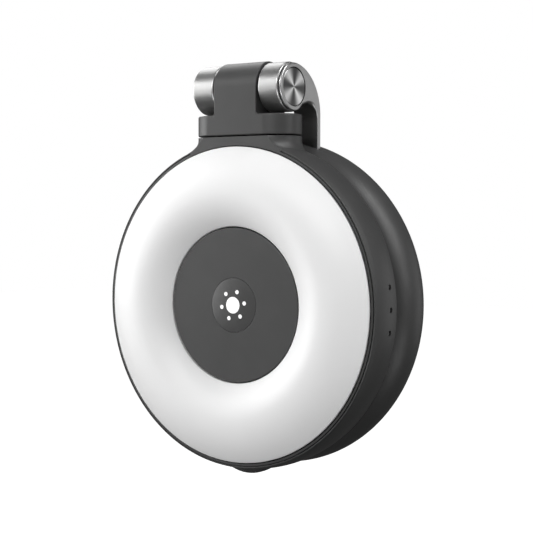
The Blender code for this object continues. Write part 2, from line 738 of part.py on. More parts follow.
def hinge_arm():
    """The one-sided arm: hub flange, side cheek, curved strap and the plate in the pod."""
    drop = ARM_OUTER_RADIUS - ARM_FLANGE_RADIUS
    crown = (-drop * math.sin(ARM_LEAN), -drop * math.cos(ARM_LEAN))
    leaves = 90 - math.degrees(ARM_LEAN)
    plate_back = ARM_PLATE_BACK - HINGE_DEPTH
    plate_front = ARM_PLATE_FRONT - HINGE_DEPTH
    foot = ARM_FOOT - HINGE_HEIGHT
    inner_centre = (plate_front - ARM_INNER_RADIUS, ARM_INNER_HEIGHT - HINGE_HEIGHT)
    arch_ends = 98      # the arch under the strap runs on until it meets the flange
    flange_starts = -47
    outline = arc(crown, ARM_OUTER_RADIUS, leaves, 0, 16)
    outline += [(plate_back, foot), (plate_front, foot)]
    outline += arc(inner_centre, ARM_INNER_RADIUS, 0, arch_ends, 8)
    outline += arc((0, 0), ARM_FLANGE_RADIUS, flange_starts, leaves - 360, 28)[:-1]
    width = ARM_RIGHT - ARM_LEFT
    arm = plate("hinge_arm", outline, width, arm_frame, ARM,
                location=(ARM_MIDDLE, 0, 0), rotation=(QUARTER, 0, QUARTER))
    clearance = rod("barrel_clearance", BARREL_RADIUS + GAP, 4 * MM, ARM_FLANGE_START,
                    arm_frame, steps=INNER_STEPS, rotation=ALONG_X)
    open_front = block("front_clearance", (4 * MM, -7 * MM, -6 * MM),
                       (ARM_FLANGE_START, 4.8 * MM, 7 * MM), arm_frame)
    cut(arm, clearance, open_front)
    hub = rod("hub", HUB_RADIUS, HUB_START, ARM_RIGHT - 0.2 * MM, arm_frame, steps=24,
              rotation=ALONG_X)
    web = block("web", (6.8 * MM, 3 * MM, -1.5 * MM), (11.2 * MM, 6.5 * MM, 1.5 * MM), arm_frame)
    join(arm, hub, web)
    holes = [stepped_hole(
        "hub_bore", [(END_CAP_POCKET, 13 * MM), (2.9 * MM, 10.75 * MM),
                     (SHAFT_RADIUS + THIN_GAP, 9.0 * MM)], 5 * MM,
        arm_frame, steps=24, rotation=ALONG_X)]
    for height in ARM_SCREW_HEIGHTS:
        holes.append(rod("arm_screw_hole", 1.1 * MM, -18 * MM, -4 * MM, arm_frame,
                         location=(ARM_MIDDLE, 0, height - HINGE_HEIGHT),
                         rotation=(QUARTER, 0, 0), steps=SCREW_STEPS))
    cut(arm, *holes)
    return arm


def hinge_shaft():
    """A shoulder bolt: its head sits in the arm's hub and its end carries the nut."""
    head = 2.6 * MM
    head_top = 10.5 * MM
    seat = 9.2 * MM
    socket = 1.1 * MM
    socket_floor = 9.8 * MM
    end = -9.4 * MM
    return turned("hinge_shaft", [
        (0, socket_floor), (socket, socket_floor), (socket, head_top), (head, head_top),
        (head, seat), (SHAFT_RADIUS, seat), (SHAFT_RADIUS, end), (0, end)],
        arm_frame, STEEL, steps=SMALL_STEPS, rotation=ALONG_X)


def friction_stack():
    """Washers, disc springs and the nut, threaded on the shaft."""
    bore = SHAFT_RADIUS + THIN_GAP
    near = 5.65 * MM
    far = 6.05 * MM
    radius = 3.2 * MM
    washer("friction_washer_right", 3.6 * MM, bore, near, far, arm_frame, STEEL,
           rotation=ALONG_X)
    washer("friction_washer_left", radius, bore, -far, -near, arm_frame, STEEL,
           rotation=ALONG_X)
    pitch = 0.75 * MM
    cone = 0.2 * MM
    thick = 0.3 * MM
    for index in range(2):
        face = -far - cone - index * pitch
        turned("disc_spring_%d" % (index + 1), [
            (bore, face), (radius, face - cone), (radius, face - cone - thick),
            (bore, face - thick)], arm_frame, STEEL, SMALL_STEPS, rotation=ALONG_X)
    flats = arc((0, 0), 3.0 * MM, 0, 360, 6)[:-1]
    nut = plate("hinge_nut", flats, 1.3 * MM, arm_frame, STEEL,
                location=(-8.4 * MM, 0, 0), rotation=ALONG_X)
    cut(nut, rod("nut_bore", bore, -10 * MM, -7 * MM, arm_frame, rotation=ALONG_X))


def hinge_end_cap():
    """The spun disc set in the arm's flange."""
    face = 11.33 * MM
    edge = 0.1 * MM
    back = 10.83 * MM
    return turned("hinge_end_cap", [
        (0, face), (END_CAP_RADIUS - edge, face), (END_CAP_RADIUS, face - edge),
        (END_CAP_RADIUS, back), (0, back)], arm_frame, SPUN, INNER_STEPS, rotation=ALONG_X)


def arm_screws():
    """Two screws through the arm's plate into the pod's boss."""
    profile = screw_profile(1.6 * MM, 1.0 * MM, 0.9 * MM, 3.7 * MM)
    seat = ARM_PLATE_BACK - HINGE_DEPTH + THIN_GAP
    for index, height in enumerate(ARM_SCREW_HEIGHTS):
        turned("arm_screw_%d" % (index + 1), profile, arm_frame, STEEL, SCREW_STEPS,
               location=(ARM_MIDDLE, seat, height - HINGE_HEIGHT), rotation=(-QUARTER, 0, 0))


def hinge():
    hinge_bracket()
    bracket_screws()
    left_barrel()
    right_barrel()
    hinge_arm()
    hinge_shaft()
    friction_stack()
    hinge_end_cap()
    arm_screws()


# --- back pod -----------------------------------------------------------------------------

def pod_shell():
    """A pebble of revolution with a full-round edge, hollow and open at the back."""
    front = POD_BACK + 2 * POD_EDGE_RADIUS
    middle = (POD_FLAT_RADIUS, POD_BACK + POD_EDGE_RADIUS)
    outer = arc(middle, POD_EDGE_RADIUS, 90, -90, 10)
    inner_radius = POD_EDGE_RADIUS - POD_WALL
    inner = arc(middle, inner_radius, -90, 90, 3)
    profile = [(0, front)] + outer
    profile += [(POD_OPENING, POD_BACK), (POD_OPENING, POD_BACK + POD_WALL)]
    profile += inner + [(0, front - POD_WALL)]
    shell = turned("pod_shell", profile, pod_frame, HOUSING)
    inside = front - POD_WALL
    overlap = 0.01 * MM
    boss_face = DEPTH - ARM_PLATE_FRONT + GAP
    slot_back = DEPTH - ARM_PLATE_BACK - GAP
    bosses = [block("arm_boss", (4.6 * MM, 21.8 * MM, boss_face),
                    (12.4 * MM, 30.2 * MM, inside + 0.5 * MM), pod_frame)]
    holes = [block("arm_slot", (ARM_LEFT - GAP, 21 * MM, slot_back),
                   (ARM_RIGHT + GAP, 38 * MM, boss_face - overlap), pod_frame)]
    for x, y, angle in around(POD_SCREWS, POD_SCREW_CIRCLE, QUARTER):
        bosses.append(rod("pod_boss", 2.2 * MM, 6.5 * MM, inside + 0.5 * MM, pod_frame,
                          location=(x, y, 0)))
        holes.append(rod("pod_boss_hole", 1.0 * MM, 6 * MM, 12.5 * MM, pod_frame,
                         location=(x, y, 0), steps=SCREW_STEPS))
    for height in ARM_SCREW_HEIGHTS:
        holes.append(rod("arm_boss_hole", 1.0 * MM, 7 * MM, 12.6 * MM, pod_frame,
                         location=(ARM_MIDDLE, height, 0), steps=SCREW_STEPS))
    join(shell, *bosses)
    cut(shell, *holes)
    return shell


def pod_back_cover():
    cover = rod("pod_back_cover", 26.6 * MM, 1.0 * MM, 1.9 * MM, pod_frame, HOUSING,
                INNER_STEPS)
    holes = []
    for x, y, angle in around(POD_SCREWS, POD_SCREW_CIRCLE, QUARTER):
        holes.append(stepped_hole(
            "pod_cover_hole", [(2.0 * MM, 0), (1.1 * MM, -1.5 * MM)], -3 * MM,
            pod_frame, location=(x, y, 0), rotation=(math.pi, 0, 0)))
    cut(cover, *holes)
    return cover


def pod_cover_screws():
    profile = screw_profile(1.7 * MM, 0.45 * MM, 0.9 * MM, 9.5 * MM)
    for index, (x, y, angle) in enumerate(around(POD_SCREWS, POD_SCREW_CIRCLE, QUARTER)):
        turned("pod_cover_screw_%d" % (index + 1), profile, pod_frame, STEEL, SCREW_STEPS,
               location=(x, y, 1.47 * MM), rotation=(math.pi, 0, 0))


def grip_pad():
    """The silicone pad whose back face meets whatever the light is put on."""
    edge = 0.2 * MM
    thick = 0.7 * MM
    radius = POD_OPENING - GAP
    return turned("grip_pad", [
        (0, thick), (radius, thick), (radius, edge), (radius - edge, 0), (0, 0)],
        pod_frame, PAD, INNER_STEPS)


def ballast_ring():
    front = POD_BACK + 2 * POD_EDGE_RADIUS - POD_WALL - GAP
    return washer("ballast_ring", 20.4 * MM, 13.8 * MM, front - 5 * MM, front, pod_frame,
                  BALLAST, INNER_STEPS)


def magnet_tray():
    """A tray with a round channel for the steel ring and its magnets, open to the back."""
    top = 6.2 * MM
    floor = 5.4 * MM
    mouth = 2.2 * MM
    outer = 25.6 * MM
    inner = 16.4 * MM
    wall = 0.7 * MM
    tray = turned("magnet_tray", [
        (0, top), (outer, top), (outer, mouth), (outer - wall, mouth), (outer - wall, floor),
        (inner + wall, floor), (inner + wall, mouth), (inner, mouth), (inner, floor),
        (0, floor)], pod_frame, HOUSING, INNER_STEPS)
    holes = []
    for x, y, angle in around(POD_SCREWS, POD_SCREW_CIRCLE, QUARTER):
        holes.append(rod("tray_hole", 1.2 * MM, 5 * MM, 7 * MM, pod_frame,
                         location=(x, y, 0), steps=SCREW_STEPS))
    cut(tray, *holes)
    return tray


def magnets():
    """A steel ring that closes the field, and round magnets on its back face."""
    washer("magnet_shunt_ring", 24.6 * MM, 17.4 * MM, 4.4 * MM, 5.2 * MM, pod_frame, STEEL,
           INNER_STEPS)
    for index, (x, y, angle) in enumerate(around(MAGNET_COUNT, MAGNET_CIRCLE)):
        rod("magnet_%d" % (index + 1), MAGNET_RADIUS, 2.3 * MM, 4.2 * MM, pod_frame, MAGNET,
            location=(x, y, 0))


def back_pod():
    pod_shell()
    pod_back_cover()
    pod_cover_screws()
    grip_pad()
    ballast_ring()
    magnet_tray()
    magnets()


light_head()
hinge()
back_pod()
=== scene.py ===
"""Looks of the folding ring light: fine shells, plastic and metal finishes, floor and light.

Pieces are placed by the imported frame, in metres: +X right, +Y back, +Z up. Face-on pieces are
drawn with local x right, y up and z out of the front, measured from the light head's front lip.
Barrels are turned round the hinge axis, with local z along world +X.
"""

import json
import math

import bmesh
import bpy
from mathutils import Matrix, Vector


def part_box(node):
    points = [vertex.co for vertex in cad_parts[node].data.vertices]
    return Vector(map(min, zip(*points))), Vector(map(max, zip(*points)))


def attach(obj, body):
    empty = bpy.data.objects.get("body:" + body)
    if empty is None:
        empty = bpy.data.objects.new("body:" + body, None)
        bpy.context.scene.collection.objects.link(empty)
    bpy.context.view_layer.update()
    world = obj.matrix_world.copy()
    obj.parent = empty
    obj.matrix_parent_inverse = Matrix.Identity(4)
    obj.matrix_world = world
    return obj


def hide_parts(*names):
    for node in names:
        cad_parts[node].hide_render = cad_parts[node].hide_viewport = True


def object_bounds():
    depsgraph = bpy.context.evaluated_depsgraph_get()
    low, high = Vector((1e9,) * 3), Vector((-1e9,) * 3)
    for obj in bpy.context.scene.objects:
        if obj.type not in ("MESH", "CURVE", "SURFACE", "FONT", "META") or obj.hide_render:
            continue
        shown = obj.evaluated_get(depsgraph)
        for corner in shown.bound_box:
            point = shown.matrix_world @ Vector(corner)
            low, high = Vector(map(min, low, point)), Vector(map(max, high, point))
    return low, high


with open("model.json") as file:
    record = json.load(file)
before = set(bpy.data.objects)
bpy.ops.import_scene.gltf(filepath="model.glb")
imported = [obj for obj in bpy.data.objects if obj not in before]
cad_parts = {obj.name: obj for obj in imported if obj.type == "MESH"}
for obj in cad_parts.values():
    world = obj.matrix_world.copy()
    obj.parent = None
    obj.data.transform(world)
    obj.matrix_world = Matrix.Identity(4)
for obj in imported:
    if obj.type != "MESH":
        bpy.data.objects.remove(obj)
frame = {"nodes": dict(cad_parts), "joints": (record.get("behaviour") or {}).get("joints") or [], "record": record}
cad_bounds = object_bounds()

MM = 0.001
FULL = 2 * math.pi
QUARTER = math.pi / 2


# --- places, read from the frame ----------------------------------------------------------

def radius_of(node):
    low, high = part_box(node)
    return (high.x - low.x) / 2


LIP_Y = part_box("head_housing")[0].y
BACK_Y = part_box("grip_pad")[1].y
HINGE = Vector(next(j for j in frame["joints"] if j["name"] == "head_hinge")["pos_m"])
FACE_ON = Matrix.Translation((0, LIP_Y, 0)) @ Matrix.Rotation(QUARTER, 4, "X")
POD_FACE_ON = Matrix.Translation((0, BACK_Y, 0)) @ Matrix.Rotation(QUARTER, 4, "X")
ALONG_HINGE = Matrix.Translation(HINGE) @ Matrix.Rotation(QUARTER, 4, "Y")
AT_HINGE = Matrix.Translation(HINGE)
HINGE_DEPTH = HINGE.y - LIP_Y
BACK_ON = FACE_ON @ Matrix.Rotation(math.pi, 4, "X")
# Local x runs back, y up and z along world +X.
SIDE_ON = AT_HINGE @ Matrix(((0, 0, 1, 0), (1, 0, 0, 0), (0, 1, 0, 0), (0, 0, 0, 1)))

HEAD_DEPTH = 8.05 * MM
WALL_DRAFT = 0.25 * MM
WALL_BULGE = 0.52 * MM
# The bulge makes the head widest about half-way down its wall.
HEAD_RADIUS = radius_of("head_housing") - WALL_DRAFT / 2 - WALL_BULGE
COVER_RADIUS = radius_of("head_back_cover")
DIFFUSER_OUTER = radius_of("diffuser_ring")
CAP_RADIUS = radius_of("center_cap")
CAP_FACE = LIP_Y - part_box("center_cap")[0].y
DIFFUSER_INNER = CAP_RADIUS + 0.24 * MM
BARREL_RADIUS = (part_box("left_barrel")[1].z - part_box("left_barrel")[0].z) / 2
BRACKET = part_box("hinge_bracket")
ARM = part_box("hinge_arm")
ARM_PLATE = 1.09 * MM


# --- mesh helpers -------------------------------------------------------------------------

def rounded(corners, segments=6):
    """A line through (x, y, radius) corners, each turned by an arc of its own radius."""
    points = []
    count = len(corners)
    for index, (x, y, radius) in enumerate(corners):
        corner = Vector((x, y))
        if radius <= 0:
            points.append(corner)
            continue
        before = Vector(corners[index - 1][:2]) - corner
        after = Vector(corners[(index + 1) % count][:2]) - corner
        before.normalize()
        after.normalize()
        half = before.angle(after) / 2
        reach = radius / math.tan(half)
        centre = corner + (before + after).normalized() * (radius / math.sin(half))
        start = corner + before * reach - centre
        turn = start.angle_signed(corner + after * reach - centre)
        for step in range(segments + 1):
            points.append(centre + Matrix.Rotation(-turn * step / segments, 2) @ start)
    return [(point.x, point.y) for point in points]


def arc(centre, radius, start, end, count):
    """Points on an arc, with the angles in degrees, both ends included."""
    points = []
    for index in range(count + 1):
        angle = math.radians(start + (end - start) * index / count)
        points.append((centre[0] + radius * math.cos(angle), centre[1] + radius * math.sin(angle)))
    return points


def build(name, points, faces, place):
    """A piece from points and faces, with its faces turned outwards."""
    mesh = bpy.data.meshes.new(name)
    mesh.from_pydata(points, [], faces)
    solid = bmesh.new()
    solid.from_mesh(mesh)
    bmesh.ops.recalc_face_normals(solid, faces=solid.faces)
    solid.to_mesh(mesh)
    solid.free()
    piece = bpy.data.objects.new(name, mesh)
    piece.matrix_world = place
    bpy.context.scene.collection.objects.link(piece)
    return piece


def lathe(name, profile, place, steps=192):
    """Turn a profile of (radius, height) points round local z into a closed solid.

    A profile that touches the axis at both ends closes on it; any other one closes as a ring.
    """
    on_axis = [radius < 1e-9 for radius, height in profile]
    points = []
    rings = []
    for (radius, height), single in zip(profile, on_axis):
        start = len(points)
        count = 1 if single else steps
        for step in range(count):
            angle = FULL * step / steps
            points.append((radius * math.cos(angle), radius * math.sin(angle), height))
        rings.append([start + step % count for step in range(steps)])
    pairs = list(zip(rings, rings[1:]))
    if not any(on_axis):
        pairs.append((rings[-1], rings[0]))
    faces = []
    for upper, lower in pairs:
        for step in range(steps):
            following = (step + 1) % steps
            corners = [upper[step], upper[following], lower[following], lower[step]]
            faces.append(list(dict.fromkeys(corners)))
    return build(name, points, faces, place)


def prism(name, outline, low, high, place, edges=0.0, segments=5):
    """A flat outline of (x, y) points between two heights, its rims rounded.

    edges is the rim radius, or a list with a radius for each outline point.
    """
    count = len(outline)
    radii = edges if isinstance(edges, list) else [edges] * count
    area = sum(outline[i - 1][0] * outline[i][1] - outline[i][0] * outline[i - 1][1]
               for i in range(count))
    side = 1 if area > 0 else -1
    inward = []
    for index in range(count):
        here = Vector(outline[index])
        along = (here - Vector(outline[index - 1])).normalized()
        onward = (Vector(outline[(index + 1) % count]) - here).normalized()
        normal = Vector((-along.y - onward.y, along.x + onward.x)) * side
        length = normal.length / 2
        inward.append(normal.normalized() / max(length, 0.5))
    rings = []
    for level, sign in ((low, 1), (high, -1)):
        turns = range(segments + 1) if sign > 0 else range(segments, -1, -1)
        for step in turns:
            angle = QUARTER * step / segments
            ring = []
            for (x, y), normal, radius in zip(outline, inward, radii):
                inset = radius * (1 - math.sin(angle))
                height = level + sign * radius * (1 - math.cos(angle))
                ring.append((x + normal.x * inset, y + normal.y * inset, height))
            rings.append(ring)
    points = [point for ring in rings for point in ring]
    faces = [list(range(count))[::-1], list(range(len(points) - count, len(points)))]
    for level in range(len(rings) - 1):
        for index in range(count):
            following = (index + 1) % count
            lower = level * count
            upper = lower + count
            faces.append([lower + index, lower + following, upper + following, upper + index])
    return build(name, points, faces, place)


def box(name, low, high, place, edge=0.0):
    """A block between two corners, with rounded edges when edge is given."""
    outline = [(low[0], low[1], edge), (high[0], low[1], edge),
               (high[0], high[1], edge), (low[0], high[1], edge)]
    return prism(name, rounded(outline, 5), low[2], high[2], place, min(edge, 0.2 * MM), 3)


def rod(name, radius, bottom, top, place, steps=48):
    return lathe(name, [(0, top), (radius, top), (radius, bottom), (0, bottom)], place, steps)


def bake(piece):
    """Replace a piece's mesh with what its modifiers make of it."""
    graph = bpy.context.evaluated_depsgraph_get()
    mesh = bpy.data.meshes.new_from_object(piece.evaluated_get(graph))
    piece.modifiers.clear()
    piece.data = mesh


def combine(piece, tools, operation):
    """One exact Boolean with a group of shapes, which are used up."""
    group = bpy.data.collections.new(piece.name + "_tools")
    bpy.context.scene.collection.children.link(group)
    for tool in tools:
        bpy.context.scene.collection.objects.unlink(tool)
        group.objects.link(tool)
    step = piece.modifiers.new("shape", "BOOLEAN")
    step.operation = operation
    step.solver = "EXACT"
    step.operand_type = "COLLECTION"
    step.collection = group
    weld = piece.modifiers.new("weld", "WELD")
    weld.merge_threshold = 1e-6
    bake(piece)
    for tool in tools:
        bpy.data.objects.remove(tool)
    bpy.data.collections.remove(group)


def cut(piece, *tools):
    combine(piece, tools, "DIFFERENCE")


def join(piece, *others):
    combine(piece, others, "UNION")


def around(count, radius, turn=0.0):
    """Evenly spaced (x, y) places on a circle, the first one at an angle of turn."""
    places = []
    for index in range(count):
        angle = turn + FULL * index / count
        places.append((radius * math.cos(angle), radius * math.sin(angle)))
    return places


def shift(place, x, y, z=0.0):
    """A place moved along its own axes."""
    return place @ Matrix.Translation((x, y, z))


def eased(start, end, share):
    """A value that leaves start and reaches end gently, as share runs from 0 to 1."""
    share = min(max(share, 0), 1)
    return start + (end - start) * share * share * (3 - 2 * share)


SHARP_ANGLE = math.radians(32)


def present(piece, body, slot, *nodes):
    """Shade a finished piece smooth, give it its slot's finish and hand it to the frame."""
    mesh = piece.data
    mesh.shade_smooth()
    mesh.set_sharp_from_angle(angle=SHARP_ANGLE)
    even = piece.modifiers.new("even_shading", "WEIGHTED_NORMAL")
    even.keep_sharp = True
    even.weight = 90
    bake(piece)
    piece.data.materials.clear()
    piece.data.materials.append(FINISHES[slot])
    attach(piece, body)
    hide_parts(*nodes)


# --- finishes -----------------------------------------------------------------------------

class Finish:
    """One procedural material: a Principled shader and the nodes that drive it."""

    def __init__(self, name, colour, roughness, metallic=0.0, **inputs):
        self.material = bpy.data.materials.new(name)
        self.material.use_nodes = True
        self.tree = self.material.node_tree
        self.shader = self.tree.nodes["Principled BSDF"]
        self.colour = colour
        self.shader.inputs["Base Color"].default_value = (*colour, 1.0)
        self.shader.inputs["Roughness"].default_value = roughness
        self.shader.inputs["Metallic"].default_value = metallic
        for label, value in inputs.items():
            self.shader.inputs[label.replace("_", " ")].default_value = value
        self.place = self.node("ShaderNodeTexCoord").outputs["Object"]
        self.normal = None

    def node(self, kind, **settings):
        made = self.tree.nodes.new(kind)
        for label, value in settings.items():
            setattr(made, label, value)
        return made

    def link(self, source, target):
        self.tree.links.new(source, target)

    def math(self, operation, first, second=None):
        made = self.node("ShaderNodeMath", operation=operation)
        for socket, value in zip(made.inputs, (first, second)):
            if isinstance(value, bpy.types.NodeSocket):
                self.link(value, socket)
            elif value is not None:
                socket.default_value = value
        return made.outputs[0]

    def noise(self, size, detail=2.0):
        """Soft noise whose blotches are about size across."""
        made = self.node("ShaderNodeTexNoise")
        made.inputs["Scale"].default_value = 1 / size
        made.inputs["Detail"].default_value = detail
        self.link(self.place, made.inputs["Vector"])
        return made.outputs["Fac"]

    def cells(self, size):
        """Small packed cells, as on spark-eroded moulds and blasted metal."""
        made = self.node("ShaderNodeTexVoronoi", feature="SMOOTH_F1")
        made.inputs["Scale"].default_value = 1 / size
        self.link(self.place, made.inputs["Vector"])
        return made.outputs["Distance"]

    def turning_lines(self, pitch):
        """Fine circular lines about local z, across faces and along walls alike."""
        parts = self.node("ShaderNodeSeparateXYZ")
        self.link(self.place, parts.inputs[0])
        x, y, z = parts.outputs
        squared = self.math("ADD", self.math("MULTIPLY", x, x), self.math("MULTIPLY", y, y))
        outward = self.math("ADD", self.math("SQRT", squared), z)
        made = self.node("ShaderNodeTexNoise", noise_dimensions="1D")
        made.inputs["Scale"].default_value = 1.0
        made.inputs["Detail"].default_value = 3.0
        self.link(self.math("MULTIPLY", outward, 1 / pitch), made.inputs["W"])
        return made.outputs["Fac"]

    def stretched(self, source, low, high):
        """The middle of a noise, where nearly all of it lies, stretched from low to high."""
        made = self.node("ShaderNodeMapRange")
        made.inputs["From Min"].default_value = 0.3
        made.inputs["From Max"].default_value = 0.7
        made.inputs["To Min"].default_value = low
        made.inputs["To Max"].default_value = high
        self.link(source, made.inputs["Value"])
        return made.outputs["Result"]

    def blend(self, share, first, second):
        """Mix the base colour from two colours by a share from 0 to 1."""
        made = self.node("ShaderNodeMix", data_type="RGBA")
        colours = [socket for socket in made.inputs if socket.type == "RGBA"]
        colours[0].default_value = (*first, 1.0)
        colours[1].default_value = (*second, 1.0)
        self.link(share, made.inputs[0])
        result = next(socket for socket in made.outputs if socket.type == "RGBA")
        self.link(result, self.shader.inputs["Base Color"])

    def mottle(self, source, low, high):
        """Vary the roughness between two values."""
        self.link(self.stretched(source, low, high), self.shader.inputs["Roughness"])

    def tint(self, source, amount):
        """Vary the base colour's brightness by a share, up and down."""
        darker = [channel * (1 - amount) for channel in self.colour]
        lighter = [min(channel * (1 + amount), 1.0) for channel in self.colour]
        self.blend(self.stretched(source, 0.0, 1.0), darker, lighter)

    def relief(self, source, height, strength=1.0):
        """Raise the surface by a source; calls stack."""
        made = self.node("ShaderNodeBump")
        made.inputs["Strength"].default_value = strength
        made.inputs["Distance"].default_value = height
        self.link(source, made.inputs["Height"])
        if self.normal is not None:
            self.link(self.normal, made.inputs["Normal"])
        self.normal = made.outputs["Normal"]
        self.link(self.normal, self.shader.inputs["Normal"])

    def painted_highlight_wedges(self, count, turn, low, high):
        """Paint a highlight into the base colour in equal wedges round local z, the first one at turn: a painted
        reflection of the lights on circular lines.
        """
        parts = self.node("ShaderNodeSeparateXYZ")
        self.link(self.place, parts.inputs[0])
        angle = self.math("ARCTAN2", parts.outputs[1], parts.outputs[0])
        turned = self.math("SUBTRACT", angle, turn)
        wave = self.math("COSINE", self.math("MULTIPLY", turned, float(count)))
        share = self.math("MULTIPLY", self.math("ADD", wave, 1.0), 0.5)
        peaked = self.math("POWER", share, 1.5)
        self.blend(peaked, (low, low, low), (high, high, high))

    def circular_brushing(self, amount):
        """Stretch reflections across lines that run round local z."""
        self.shader.inputs["Anisotropic"].default_value = amount
        self.shader.inputs["Anisotropic Rotation"].default_value = 0.25
        tangent = self.node("ShaderNodeTangent", direction_type="RADIAL", axis="Z")
        self.link(tangent.outputs[0], self.shader.inputs["Tangent"])


def moulded_plastic(name, shade, roughness, grain, height):
    """Matte moulding with a fine spark-eroded grain and faint blotches of sheen."""
    made = Finish(name, (shade, shade, shade), roughness, Specular_IOR_Level=0.4)
    blotches = made.noise(6 * MM)
    made.tint(blotches, 0.04)
    made.mottle(made.noise(4 * MM), roughness - 0.02, roughness + 0.02)
    made.relief(made.noise(grain, 1.0), height, 0.12)
    return made.material


def satin_diffuser():
    made = Finish("diffuser_plastic", (0.9, 0.9, 0.9), 0.42, Specular_IOR_Level=0.45,
                  Subsurface_Weight=0.04, Subsurface_Scale=0.001,
                  Subsurface_Radius=(1.0, 1.0, 1.0))
    made.tint(made.noise(14 * MM), 0.01)
    made.mottle(made.noise(3 * MM), 0.4, 0.44)
    made.relief(made.noise(0.3 * MM, 1.0), 0.002 * MM, 0.15)
    return made.material


def painted_glow_icon():
    # The faint emission is a painted glow that lifts the white icon to full brightness.
    made = Finish("icon_plastic", (0.93, 0.93, 0.93), 0.35, Emission_Strength=0.3,
                  Emission_Color=(1.0, 1.0, 1.0, 1.0))
    made.tint(made.noise(0.6 * MM), 0.02)
    made.relief(made.noise(0.1 * MM), 0.002 * MM, 0.2)
    return made.material


def turned_metal(name, shade, roughness, brushing, pitch=0.15 * MM, depth=0.0006 * MM):
    """Lathe-finished metal with fine lines round its axis."""
    made = Finish(name, (shade, shade, shade * 0.995), roughness, 1.0)
    lines = made.turning_lines(pitch)
    made.tint(lines, 0.03)
    made.mottle(lines, roughness - 0.02, roughness + 0.02)
    made.relief(lines, depth, 0.15)
    made.circular_brushing(brushing)
    return made.material


def blasted_metal(name, shade, roughness):
    """Bead-blasted and anodised: fine soft dimples."""
    made = Finish(name, (shade, shade, shade), roughness, 1.0)
    made.tint(made.noise(4 * MM), 0.03)
    made.mottle(made.noise(1.5 * MM), roughness - 0.02, roughness + 0.02)
    made.relief(made.cells(0.2 * MM), 0.002 * MM, 0.15)
    return made.material


def plain_steel(name, shade, roughness):
    """Machined steel with a faint directionless tooling grain."""
    made = Finish(name, (shade, shade, shade * 0.98), roughness, 1.0)
    made.tint(made.noise(0.8 * MM, 4.0), 0.08)
    made.mottle(made.noise(0.25 * MM, 5.0), roughness - 0.08, roughness + 0.1)
    made.relief(made.noise(0.08 * MM), 0.004 * MM, 0.3)
    return made.material


def spun_disc():
    """A disc faced with fine circular lines; four bright wedges of painted highlight are drawn into its base
    colour.
    """
    made = Finish("spun_aluminium", (0.92, 0.92, 0.92), 0.33, 1.0)
    lines = made.turning_lines(0.12 * MM)
    first_highlight_wedge = 0.67
    # The four wedges are a painted highlight, fixed to the disc, that stands in for the lights' reflection; the
    # anisotropy below is real.
    made.painted_highlight_wedges(4, first_highlight_wedge, 0.1, 0.95)
    made.relief(lines, 0.001 * MM, 0.2)
    made.circular_brushing(0.6)
    return made.material


def solder_mask():
    made = Finish("circuit_board", (0.03, 0.12, 0.06), 0.45)
    made.tint(made.noise(1.5 * MM, 5.0), 0.25)
    made.mottle(made.noise(0.6 * MM, 3.0), 0.35, 0.5)
    made.relief(made.noise(0.3 * MM, 3.0), 0.01 * MM, 0.4)
    return made.material


def white_reflector():
    made = Finish("reflector_plastic", (0.88, 0.88, 0.88), 0.35)
    made.tint(made.noise(5 * MM), 0.015)
    made.relief(made.noise(0.2 * MM), 0.003 * MM, 0.3)
    return made.material


def smoked_pipe():
    made = Finish("light_pipe_plastic", (0.012, 0.012, 0.012), 0.2)
    made.tint(made.noise(0.5 * MM), 0.1)
    made.relief(made.noise(0.1 * MM), 0.001 * MM, 0.2)
    return made.material


def pouch_foil():
    made = Finish("battery_foil", (0.6, 0.6, 0.62), 0.35, 0.9)
    made.tint(made.noise(3 * MM, 4.0), 0.06)
    made.mottle(made.noise(1 * MM, 4.0), 0.28, 0.42)
    made.relief(made.noise(1.2 * MM, 4.0), 0.05 * MM, 0.5)
    return made.material


def silicone():
    made = Finish("grip_rubber", (0.045, 0.045, 0.046), 0.72, Sheen_Weight=0.2)
    made.tint(made.noise(5 * MM, 4.0), 0.1)
    made.mottle(made.noise(1.5 * MM, 4.0), 0.66, 0.8)
    made.relief(made.cells(0.2 * MM), 0.012 * MM, 0.5)
    return made.material


FINISHES = {
    "housing_plastic": moulded_plastic("housing_plastic", 0.06, 0.4, 0.13 * MM, 0.002 * MM),
    "cap_plastic": moulded_plastic("cap_plastic", 0.064, 0.36, 0.11 * MM, 0.002 * MM),
    "diffuser_plastic": satin_diffuser(),
    "icon_plastic": painted_glow_icon(),
    "reflector_plastic": white_reflector(),
    "light_pipe_plastic": smoked_pipe(),
    "barrel_aluminium": turned_metal("barrel_aluminium", 0.5, 0.4, 0.2),
    "arm_aluminium": blasted_metal("arm_aluminium", 0.48, 0.36),
    "spun_aluminium": spun_disc(),
    "fastener_steel": plain_steel("fastener_steel", 0.5, 0.35),
    "circuit_board": solder_mask(),
    "battery_foil": pouch_foil(),
    "magnet_nickel": plain_steel("magnet_nickel", 0.56, 0.22),
    "ballast_steel": plain_steel("ballast_steel", 0.4, 0.5),
    "grip_rubber": silicone(),
}


def finish_cad_nodes():
    """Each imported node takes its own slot's finish; the ones without a new piece stay in view."""
    slots = {part["node"]: part["material_slot"] for part in frame["record"]["subparts"]}
    for name, node in frame["nodes"].items():
        node.data.materials.clear()
        node.data.materials.append(FINISHES[slots[name]])


# --- light head ---------------------------------------------------------------------------

